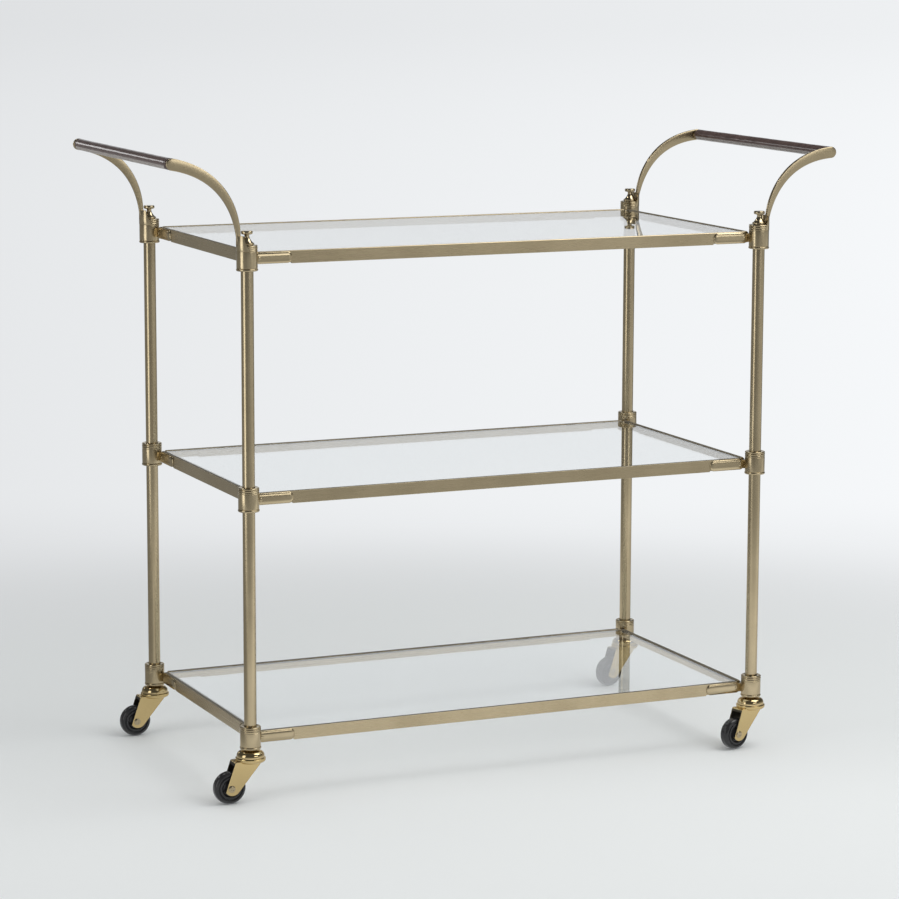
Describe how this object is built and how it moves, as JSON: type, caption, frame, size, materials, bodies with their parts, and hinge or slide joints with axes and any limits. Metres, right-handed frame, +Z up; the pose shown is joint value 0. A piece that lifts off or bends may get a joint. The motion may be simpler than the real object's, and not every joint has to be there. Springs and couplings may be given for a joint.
{
  "type": "bar cart",
  "caption": "Three-tier bar cart with round metal posts, glass shelves in flat rails, curved arms with wrapped grips, and swivel casters.",
  "frame": {"origin": "on the floor under the centre of the cart's outline", "axes": "+X along the cart to its right end, +Y to its back, +Z up"},
  "size_m": [1.1169, 0.496, 0.973],
  "materials": {
    "brass": "satin antique brass, brushed",
    "glass": "clear, polished edges",
    "leather": "dark brown, wrapped and stitched, semi gloss",
    "wheel": "moulded black, glossy"
  },
  "bodies": {
    "root": {"caster_back_left_stem": "brass", "caster_back_right_stem": "brass", "caster_front_left_stem": "brass", "caster_front_right_stem": "brass", "finial_back_left": "brass", "finial_back_right": "brass", "finial_front_left": "brass", "finial_front_right": "brass", "grip_core_left": "brass", "grip_core_right": "brass", "grip_leather_left": "leather", "grip_leather_right": "leather", "handle_arm_back_left": "brass", "handle_arm_back_right": "brass", "handle_arm_front_left": "brass", "handle_arm_front_right": "brass", "hub_bottom_back_left": "brass", "hub_bottom_back_right": "brass", "hub_bottom_front_left": "brass", "hub_bottom_front_right": "brass", "hub_middle_back_left": "brass", "hub_middle_back_right": "brass", "hub_middle_front_left": "brass", "hub_middle_front_right": "brass", "hub_top_back_left": "brass", "hub_top_back_right": "brass", "hub_top_front_left": "brass", "hub_top_front_right": "brass", "post_back_left": "brass", "post_back_right": "brass", "post_front_left": "brass", "post_front_right": "brass", "rail_bottom_back": "brass", "rail_bottom_front": "brass", "rail_bottom_left": "brass", "rail_bottom_right": "brass", "rail_middle_back": "brass", "rail_middle_front": "brass", "rail_middle_left": "brass", "rail_middle_right": "brass", "rail_top_back": "brass", "rail_top_front": "brass", "rail_top_left": "brass", "rail_top_right": "brass", "shelf_glass_bottom": "glass", "shelf_glass_middle": "glass", "shelf_glass_top": "glass"},
    "caster_front_left_swivel_body": {"caster_front_left_fork": "brass", "caster_front_left_axle": "brass"},
    "caster_front_left_wheel_body": {"caster_front_left_wheel": "wheel"},
    "caster_front_right_swivel_body": {"caster_front_right_fork": "brass", "caster_front_right_axle": "brass"},
    "caster_front_right_wheel_body": {"caster_front_right_wheel": "wheel"},
    "caster_back_left_swivel_body": {"caster_back_left_fork": "brass", "caster_back_left_axle": "brass"},
    "caster_back_left_wheel_body": {"caster_back_left_wheel": "wheel"},
    "caster_back_right_swivel_body": {"caster_back_right_fork": "brass", "caster_back_right_axle": "brass"},
    "caster_back_right_wheel_body": {"caster_back_right_wheel": "wheel"}
  },
  "joints": [
    {"name": "caster_front_left_swivel", "type": "hinge", "parent": "root", "child": "caster_front_left_swivel_body", "pos_m": [-0.43448, -0.225, 0.0695], "axis": [0, 0, 1], "continuous": true},
    {"name": "caster_front_left_roll", "type": "hinge", "parent": "caster_front_left_swivel_body", "child": "caster_front_left_wheel_body", "pos_m": [-0.46898, -0.225, 0.025], "axis": [0, 1, 0], "continuous": true},
    {"name": "caster_front_right_swivel", "type": "hinge", "parent": "root", "child": "caster_front_right_swivel_body", "pos_m": [0.42252, -0.225, 0.0695], "axis": [0, 0, 1], "continuous": true},
    {"name": "caster_front_right_roll", "type": "hinge", "parent": "caster_front_right_swivel_body", "child": "caster_front_right_wheel_body", "pos_m": [0.38905, -0.23335, 0.025], "axis": [-0.2419, 0.9703, 0], "continuous": true},
    {"name": "caster_back_left_swivel", "type": "hinge", "parent": "root", "child": "caster_back_left_swivel_body", "pos_m": [-0.43448, 0.225, 0.0695], "axis": [0, 0, 1], "continuous": true},
    {"name": "caster_back_left_roll", "type": "hinge", "parent": "caster_back_left_swivel_body", "child": "caster_back_left_wheel_body", "pos_m": [-0.46898, 0.225, 0.025], "axis": [0, 1, 0], "continuous": true},
    {"name": "caster_back_right_swivel", "type": "hinge", "parent": "root", "child": "caster_back_right_swivel_body", "pos_m": [0.42252, 0.225, 0.0695], "axis": [0, 0, 1], "continuous": true},
    {"name": "caster_back_right_roll", "type": "hinge", "parent": "caster_back_right_swivel_body", "child": "caster_back_right_wheel_body", "pos_m": [0.38877, 0.21783, 0.025], "axis": [-0.2079, 0.9781, 0], "continuous": true}
  ]
}
